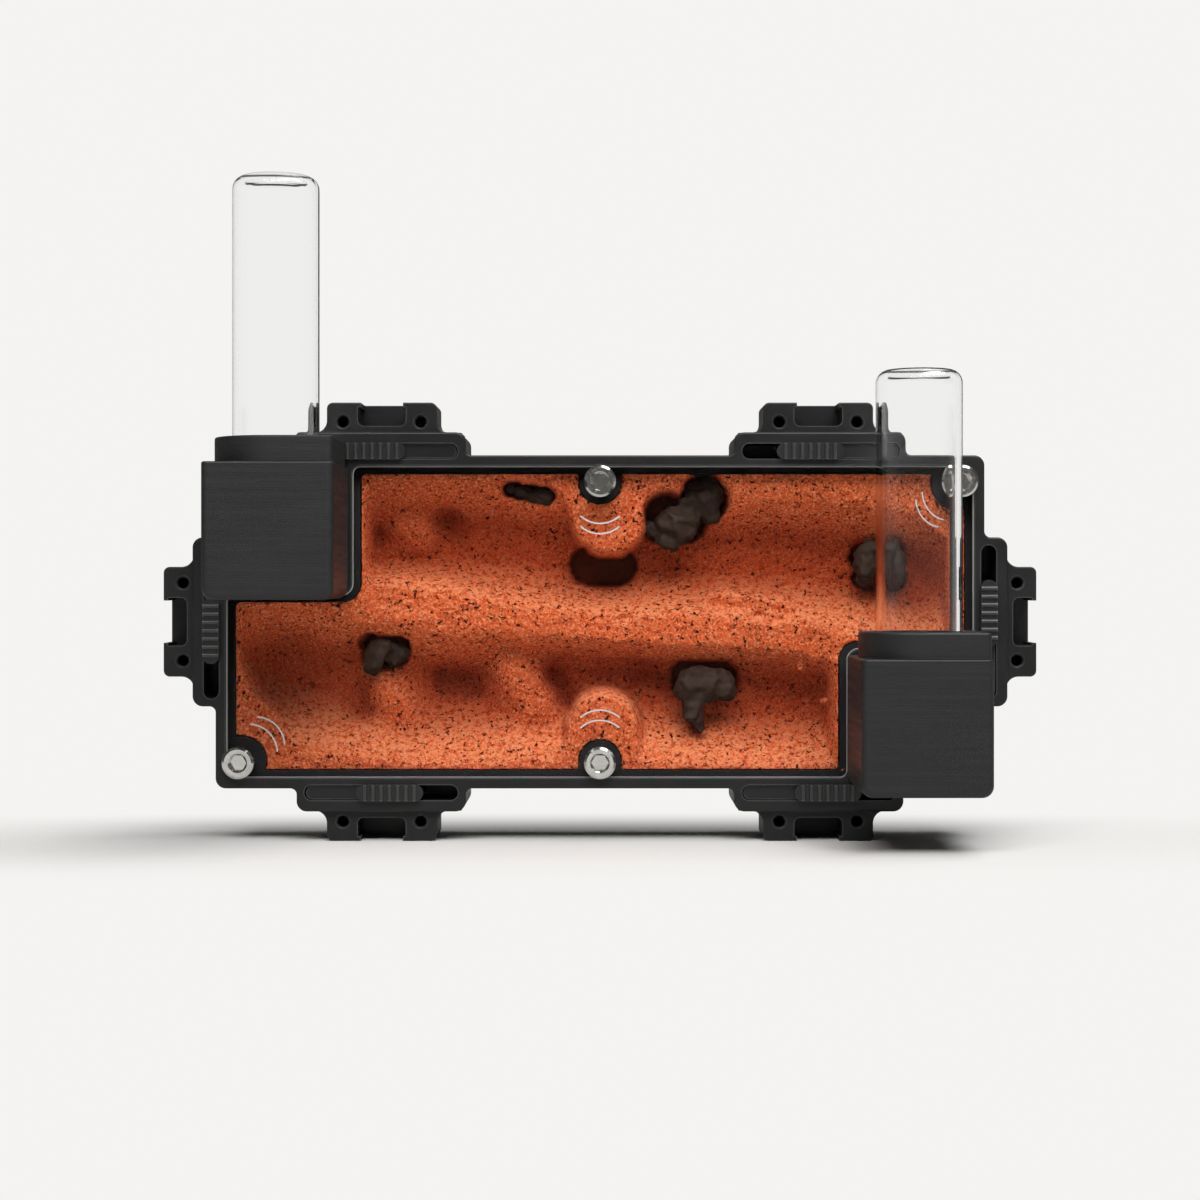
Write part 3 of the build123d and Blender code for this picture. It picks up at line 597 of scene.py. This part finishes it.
def carve(piece, path, width, fade, depth, falloff):
    """Brings the sheet to one depth along a path, fading out beside it."""
    near = near_path(points_of(piece), path, width)
    if not near.any():
        raise RuntimeError(f"no part of the nest lies on the stroke at {path[0]}")
    piece.data.vertices.foreach_set("select", near)
    bpy.ops.object.mode_set(mode="EDIT")
    bpy.ops.transform.resize(
        value=(1, 0, 1), orient_type="GLOBAL", center_override=spot(0, 0, depth),
        use_proportional_edit=True, proportional_edit_falloff=falloff,
        proportional_size=fade * MM)
    bpy.ops.mesh.select_all(action="DESELECT")
    bpy.ops.object.mode_set(mode="OBJECT")


def nest_edges():
    """The nest's outline as it is carved: runs of points in mm, from screw to screw."""
    right = NEST_HIGH.x / MM
    top = (NEST_HIGH.z - NEST_MIDDLE.z) / MM
    return [
        [(-NOTCH_X, top), (right, top), (right, -NOTCH_Y), (NOTCH_X, -NOTCH_Y), (NOTCH_X, -top)],
        [(NOTCH_X, -top), (-right, -top), (-right, NOTCH_Y), (-NOTCH_X, NOTCH_Y), (-NOTCH_X, top)],
    ]


def outside_nest(x, y):
    """True where the case, and not the nest, fills the place x, y mm from the middle."""
    for side in (-1, 1):
        in_x = -side * x - NOTCH_X
        in_y = side * y - NOTCH_Y
        if in_x > 0 and in_y > 0:
            near_x, near_y = NOTCH_ROUND - in_x, NOTCH_ROUND - in_y
            if near_x <= 0 or near_y <= 0 or math.hypot(near_x, near_y) <= NOTCH_ROUND:
                return True
    return any(math.hypot(x - bx, y - by) < radius for bx, by, radius in BOSSES)


def select_rim():
    """Selects the open edge of the mesh that is being edited."""
    bpy.ops.mesh.select_all(action="DESELECT")
    bpy.ops.mesh.select_non_manifold(extend=False, use_wire=False, use_boundary=True,
                                     use_multi_face=False, use_non_contiguous=False,
                                     use_verts=False)


def trim_to_case(sheet):
    """Cuts the sheet away where the docks' pads and the screws' bosses stand."""
    for face in sheet.data.polygons:
        middle = face.center
        face.select = outside_nest(middle.x / MM, (middle.z - NEST_MIDDLE.z) / MM)
    bpy.ops.object.mode_set(mode="EDIT")
    bpy.ops.mesh.select_mode(type="FACE")
    bpy.ops.mesh.delete(type="FACE")
    bpy.ops.mesh.select_mode(type="VERT")
    select_rim()
    bpy.ops.mesh.vertices_smooth(factor=0.5, repeat=2)
    bpy.ops.object.mode_set(mode="OBJECT")


def close_behind(sheet):
    """Draws the sheet's rim back to the case and closes it with a flat back."""
    bpy.ops.object.mode_set(mode="EDIT")
    select_rim()
    bpy.ops.mesh.extrude_region_move(TRANSFORM_OT_translate={"value": (0, 1 * MM, 0)})
    bpy.ops.transform.resize(value=(1, 0, 1), orient_type="GLOBAL",
                             center_override=(0, NEST_HIGH.y, 0))
    bpy.ops.mesh.edge_face_add()
    bpy.ops.mesh.select_all(action="SELECT")
    bpy.ops.mesh.normals_make_consistent(inside=False)
    bpy.ops.mesh.select_all(action="DESELECT")
    bpy.ops.object.mode_set(mode="OBJECT")


def blob(x, y, depth, length, height, thickness, tilt):
    """One rounded blob of clay."""
    bpy.ops.mesh.primitive_ico_sphere_add(
        subdivisions=4, radius=1, location=spot(x, y, depth),
        rotation=(0, -math.radians(tilt), 0),
        scale=(length * MM, thickness * MM, height * MM))
    return bpy.context.object


def pattern(name, kind, size, **settings):
    """A procedural texture that a displace modifier follows."""
    texture = bpy.data.textures.new(name, kind)
    texture.noise_scale = size
    for key, value in settings.items():
        setattr(texture, key, value)
    return texture


class HABITAT_OT_nest(bpy.types.Operator):
    """Carve the plaster nest with its galleries, ridge, lobes, caves and tunnel"""

    bl_idname = "habitat.nest"
    bl_label = "Carve nest"

    def execute(self, context):
        nest = context.scene.habitat_nest
        clear_selection()
        size = NEST_HIGH - NEST_LOW
        bpy.ops.mesh.primitive_grid_add(
            x_subdivisions=round(size.x / nest.cell), y_subdivisions=round(size.z / nest.cell),
            size=1, location=(NEST_MIDDLE.x, NEST_LOW.y, NEST_MIDDLE.z),
            rotation=(math.pi / 2, 0, 0))
        sheet = context.object
        sheet.scale = (size.x, size.z, 1)
        bpy.ops.object.transform_apply(location=True, rotation=True, scale=True)
        bpy.ops.object.mode_set(mode="EDIT")
        bpy.ops.mesh.select_all(action="DESELECT")
        bpy.ops.object.mode_set(mode="OBJECT")
        edges = [(run, BORDER_WIDTH, BORDER_FADE, 0.0, "SMOOTH") for run in nest_edges()]
        for stroke in GALLERIES + RIDGE + HUMPS_AND_HOLLOWS + edges + TUNNEL + CAVES + LOBES:
            carve(sheet, *stroke)
        apply_modifier(sheet, "SUBSURF", levels=1, render_levels=1)
        trim_to_case(sheet)
        lumps = pattern("plaster_lumps", "CLOUDS", 4.2 * MM, noise_depth=2)
        apply_modifier(sheet, "DISPLACE", texture=lumps, texture_coords="LOCAL", direction="Y",
                       mid_level=0.2, strength=nest.lump_height)
        grain = pattern("plaster_grain", "CLOUDS", 1.0 * MM, noise_depth=1)
        apply_modifier(sheet, "DISPLACE", texture=grain, texture_coords="LOCAL", direction="Y",
                       mid_level=0.2, strength=nest.grain_height)
        self.keep_behind_window(sheet)
        close_behind(sheet)
        crumbs = [self.crumb(*place) for place in CRUMBS]
        choose(sheet, *crumbs)
        bpy.ops.object.join()
        bpy.ops.object.shade_smooth()
        settle(sheet, "nest_relief", plaster_finish(nest), "nest_plaster", "case", "nest_insert")
        return {"FINISHED"}

    def keep_behind_window(self, sheet):
        """Presses whatever stands proud of the nest's face or its back into the nest's box."""
        points = points_of(sheet)
        points[:, 1] = np.clip(points[:, 1], NEST_LOW.y, NEST_BACK)
        sheet.data.vertices.foreach_set("co", points.ravel())

    def crumb(self, x, y, depth, size):
        """One broken crumb of plaster."""
        bpy.ops.mesh.primitive_ico_sphere_add(
            subdivisions=3, radius=size * MM, location=spot(x, y, depth),
            rotation=(x, y, depth), scale=(1.25, 0.8, 0.75))
        piece = bpy.context.object
        bpy.ops.object.transform_apply(location=True, rotation=True, scale=True)
        apply_modifier(piece, "DISPLACE", texture=bpy.data.textures["plaster_grain"],
                       texture_coords="LOCAL", mid_level=0.5, strength=0.6 * size * MM)
        return piece


class HABITAT_OT_clay(bpy.types.Operator):
    """Model the five lumps of clay in their caves"""

    bl_idname = "habitat.clay"
    bl_label = "Model clay lumps"

    def execute(self, context):
        nest = context.scene.habitat_nest
        finish = clay_finish(nest)
        dents = pattern("clay_dents", "CLOUDS", 2.6 * MM, noise_depth=1)
        folds = pattern("clay_folds", "VORONOI", 2.4 * MM, distance_metric="DISTANCE_SQUARED")
        for name, blobs in CLAY_LUMPS.items():
            clear_selection()
            pieces = [blob(*sizes) for sizes in blobs]
            choose(*pieces)
            bpy.ops.object.join()
            bpy.ops.object.transform_apply(location=True, rotation=True, scale=True)
            lump = context.object
            apply_modifier(lump, "REMESH", mode="VOXEL", voxel_size=0.22 * MM)
            apply_modifier(lump, "SMOOTH", factor=0.5, iterations=10)
            apply_modifier(lump, "DISPLACE", texture=dents, texture_coords="LOCAL",
                           mid_level=0.5, strength=1.7 * MM)
            apply_modifier(lump, "DISPLACE", texture=folds, texture_coords="LOCAL",
                           mid_level=0.35, strength=0.9 * MM)
            apply_modifier(lump, "SMOOTH", factor=0.5, iterations=2)
            choose(lump)
            bpy.ops.object.shade_smooth()
            settle(lump, name, finish, "nest_clay", "case", "clay_inlays")
        return {"FINISHED"}


def paint(material, *names):
    """Gives CAD nodes one material."""
    for name in names:
        NODES[name].data.materials.clear()
        NODES[name].data.materials.append(material)


class HABITAT_OT_case(bpy.types.Operator):
    """Finish the case, the gates and their thumb pads"""

    bl_idname = "habitat.case"
    bl_label = "Finish case and gates"

    def execute(self, context):
        case = context.scene.habitat_case
        paint(moulded_finish("case_plastic", case.case, 0.42, 0.30, 0.35),
              "front_frame", "rear_frame")
        paint(moulded_finish("gate_plastic", case.case, 0.38, 0.34, 0.25),
              *[f"{name}_gate" for name in CONNECTORS])
        # The pads take a lighter copy of the case colour, a painted highlight that makes their
        # ribs' tops stand out.
        thumb = [c * 2.6 for c in case.case]
        paint(moulded_finish("thumb_plastic", thumb, 0.40, 0.5, 0.2, painted_rib_shade=True),
              *[f"{name}_thumb_pad" for name in CONNECTORS])
        return {"FINISHED"}


class HABITAT_OT_docks(bpy.types.Operator):
    """Finish the tube docks and their collars"""

    bl_idname = "habitat.docks"
    bl_label = "Finish tube docks"

    def execute(self, context):
        paint(layered_finish(context.scene.habitat_case),
              *[f"{side}_tube_dock" for side in SIDES],
              *[f"{side}_tube_collar" for side in SIDES])
        return {"FINISHED"}


class HABITAT_OT_metal(bpy.types.Operator):
    """Finish the screws and the threaded inserts"""

    bl_idname = "habitat.metal"
    bl_label = "Finish screws and inserts"

    def execute(self, context):
        case = context.scene.habitat_case
        paint(steel_finish(case), "window_screws", "dock_screws")
        paint(brass_finish(case), "threaded_inserts")
        return {"FINISHED"}


class HABITAT_OT_edges(bpy.types.Operator):
    """Lay frost on the arcs engraved by each screw, and a painted highlight on the window's bevel
    """

    bl_idname = "habitat.edges"
    bl_label = "Frost window's cuts"

    def execute(self, context):
        clear_selection()
        bpy.ops.mesh.primitive_plane_add()
        cuts = context.object
        cuts.data = NODES["window"].data.copy()
        bpy.ops.object.mode_set(mode="EDIT")
        bpy.ops.mesh.select_all(action="DESELECT")
        bpy.ops.object.mode_set(mode="OBJECT")
        for polygon in cuts.data.polygons:
            # Faces of the bevel take the white as a painted highlight; faces of the engraved arcs
            # take it as real frost.
            bevel = 0.5 < -polygon.normal.y < 0.9
            depth = polygon.center.y - WINDOW_LOW.y
            groove = polygon.normal.y < -0.9 and GROOVE_DEPTHS[0] < depth < GROOVE_DEPTHS[1]
            polygon.select = not (bevel or groove)
        bpy.ops.object.mode_set(mode="EDIT")
        bpy.ops.mesh.select_mode(type="FACE")
        bpy.ops.mesh.delete(type="FACE")
        bpy.ops.mesh.select_mode(type="VERT")
        bpy.ops.object.mode_set(mode="OBJECT")
        apply_modifier(cuts, "SOLIDIFY", thickness=FROST_THICKNESS, offset=1.0)
        settle(cuts, "window_frost_and_bevel_highlight", frost_and_bevel_highlight_finish(), "window_acrylic", "case")
        return {"FINISHED"}


class HABITAT_OT_glass(bpy.types.Operator):
    """Finish the window, the test tubes and their seals"""

    bl_idname = "habitat.glass"
    bl_label = "Finish window and tubes"

    def execute(self, context):
        glass = context.scene.habitat_glass
        paint(clear_finish("window_acrylic", glass.window, 1.49, 0.05, 22 * MM, 0.05), "window")
        paint(clear_finish("tube_glass", glass.tube, 1.47, 0.12, 15 * MM, 0.03, level_too=True),
              *[f"{side}_test_tube" for side in SIDES])
        paint(rubber_finish("gasket_rubber", (0.010, 0.010, 0.010), 0.7), "window_gasket")
        paint(rubber_finish("seal_silicone", (0.30, 0.30, 0.29), 0.5),
              *[f"{side}_tube_seal" for side in SIDES])
        return {"FINISHED"}


def sweep_finish(colour):
    """A pale paper floor that turns into an even, lit backdrop away from the part."""
    finish = Finish("sweep_paper", Roughness=0.95, Specular_IOR_Level=0.0)
    fibre = finish.noise(1.5 * MM, 3.0, 0.6)
    finish.colour(finish.blend(finish.fade(fibre, 0.4, 0.7, 0.0, 0.15), colour,
                               [c * 0.985 for c in colour]))
    away = finish.add("ShaderNodeVectorMath", {0: finish.stretched(0.2, 1, 1)}, operation="LENGTH")
    share = finish.fade(away.outputs["Value"], 0.018, 0.062)
    path = finish.add("ShaderNodeLightPath").outputs
    seen = finish.maths("MAXIMUM", path["Is Camera Ray"], path["Is Transmission Ray"])
    light = finish.add("ShaderNodeEmission", {"Color": BACKDROP, "Strength": 1.0})
    mix = finish.add("ShaderNodeMixShader", {
        0: finish.maths("MULTIPLY", share, seen), 1: finish.shader.outputs[0],
        2: light.outputs[0]})
    finish.tree.links.new(mix.outputs[0], finish.tree.nodes["Material Output"].inputs["Surface"])
    return finish.material


class HABITAT_OT_stage(bpy.types.Operator):
    """Set the floor, backdrop, lamps, world and camera"""

    bl_idname = "habitat.stage"
    bl_label = "Set stage"

    def execute(self, context):
        stage = context.scene.habitat_stage
        self.add_sweep(stage)
        self.add_lamp("top_lamp", (0.26, -0.10, 0.85), (0, 0, 0.05), (0.9, 0.4), stage.top)
        self.add_lamp("front_lamp", (0.02, -0.60, 0.72), (0, 0, 0.04), (0.9, 0.35), stage.front)
        self.set_world(context.scene)
        self.add_camera(context.scene, stage)
        context.scene.view_settings.view_transform = "Standard"
        return {"FINISHED"}

    def add_sweep(self, stage):
        """Lays the floor and curves it up into a wall behind the part."""
        clear_selection()
        bpy.ops.mesh.primitive_plane_add(size=1, location=(0, 0, 0))
        sweep = bpy.context.object
        sweep.scale = (SWEEP_WIDTH, SWEEP_DEPTH, 1)
        bpy.ops.object.transform_apply(location=True, rotation=True, scale=True)
        far = max(v.co.y for v in sweep.data.vertices)
        bpy.ops.object.mode_set(mode="EDIT")
        bpy.ops.mesh.select_mode(type="EDGE")
        bpy.ops.mesh.select_all(action="DESELECT")
        bpy.ops.object.mode_set(mode="OBJECT")
        for edge in sweep.data.edges:
            ends = [sweep.data.vertices[v].co for v in edge.vertices]
            edge.select = all(abs(p.y - far) < NEARLY for p in ends)
        bpy.ops.object.mode_set(mode="EDIT")
        bpy.ops.mesh.extrude_region_move(TRANSFORM_OT_translate={"value": (0, 0, SWEEP_HEIGHT)})
        bpy.ops.mesh.select_all(action="DESELECT")
        bpy.ops.object.mode_set(mode="OBJECT")
        for edge in sweep.data.edges:
            ends = [sweep.data.vertices[v].co for v in edge.vertices]
            edge.select = all(abs(p.y - far) < NEARLY and p.z < NEARLY for p in ends)
        bpy.ops.object.mode_set(mode="EDIT")
        bpy.ops.mesh.bevel(offset=SWEEP_CURVE, segments=SWEEP_STEPS, affect="EDGES")
        bpy.ops.object.mode_set(mode="OBJECT")
        bpy.ops.object.shade_smooth()
        sweep.name = "sweep"
        sweep.data.materials.append(sweep_finish(stage.floor))

    def add_lamp(self, name, place, aim, size, power):
        """Hangs a soft rectangular lamp that faces a point."""
        clear_selection()
        turn = (Vector(aim) - Vector(place)).to_track_quat("-Z", "Y").to_euler()
        bpy.ops.object.light_add(type="AREA", location=place, rotation=turn)
        lamp = bpy.context.object
        lamp.name = name
        lamp.data.shape = "RECTANGLE"
        lamp.data.size, lamp.data.size_y = size
        lamp.data.energy = power

    def set_world(self, scene):
        """Gives a faint even light all round, which the camera sees as bright."""
        world = bpy.data.worlds.new("studio")
        world.use_nodes = True
        scene.world = world
        tree = world.node_tree
        back = tree.nodes["Background"]
        back.inputs["Color"].default_value = WORLD_COLOUR
        path = tree.nodes.new("ShaderNodeLightPath").outputs
        seen = tree.nodes.new("ShaderNodeMath")
        seen.operation = "MAXIMUM"
        tree.links.new(path["Is Camera Ray"], seen.inputs[0])
        tree.links.new(path["Is Transmission Ray"], seen.inputs[1])
        level = tree.nodes.new("ShaderNodeMapRange")
        level.inputs["To Min"].default_value = WORLD_LIGHT
        level.inputs["To Max"].default_value = WORLD_SEEN
        tree.links.new(seen.outputs[0], level.inputs["Value"])
        tree.links.new(level.outputs[0], back.inputs["Strength"])

    def add_camera(self, scene, stage):
        """Sets a level camera straight in front of the case."""
        clear_selection()
        bpy.ops.object.camera_add(location=(0, CASE_FACE - stage.distance, stage.height),
                                  rotation=(math.pi / 2, 0, 0))
        camera = bpy.context.object
        camera.name = "camera"
        camera.data.sensor_width = SENSOR
        camera.data.lens = LENS
        camera.data.shift_y = -HORIZON_PIXELS / PICTURE_PIXELS
        camera.data.clip_start = 0.01
        scene.camera = camera


class HABITAT_PT_panel(bpy.types.Panel):
    """Lists the steps that build the ant habitat"""

    bl_label = "Ant Habitat"
    bl_idname = "HABITAT_PT_panel"
    bl_space_type = "VIEW_3D"
    bl_region_type = "UI"
    bl_category = "Ant Habitat"

    def draw(self, context):
        for operator in OPERATORS:
            self.layout.operator(operator.bl_idname)
        for group in ("habitat_nest", "habitat_case", "habitat_glass", "habitat_stage"):
            settings = getattr(context.scene, group)
            for name in settings.bl_rna.properties.keys():
                if name not in ("rna_type", "name"):
                    self.layout.prop(settings, name)


GROUPS = {"habitat_nest": HabitatNest, "habitat_case": HabitatCase,
          "habitat_glass": HabitatGlass, "habitat_stage": HabitatStage}
OPERATORS = (HABITAT_OT_nest, HABITAT_OT_clay, HABITAT_OT_case, HABITAT_OT_docks,
             HABITAT_OT_metal, HABITAT_OT_edges, HABITAT_OT_glass, HABITAT_OT_stage)


def register():
    for cls in (*GROUPS.values(), *OPERATORS, HABITAT_PT_panel):
        bpy.utils.register_class(cls)
    for name, group in GROUPS.items():
        setattr(bpy.types.Scene, name, PointerProperty(type=group))


def unregister():
    for name in GROUPS:
        delattr(bpy.types.Scene, name)
    for cls in reversed((*GROUPS.values(), *OPERATORS, HABITAT_PT_panel)):
        bpy.utils.unregister_class(cls)


def main():
    register()
    bpy.ops.habitat.nest()
    bpy.ops.habitat.clay()
    bpy.ops.habitat.case()
    bpy.ops.habitat.docks()
    bpy.ops.habitat.metal()
    bpy.ops.habitat.edges()
    bpy.ops.habitat.glass()
    bpy.ops.habitat.stage()


if __name__ == "__main__":
    main()
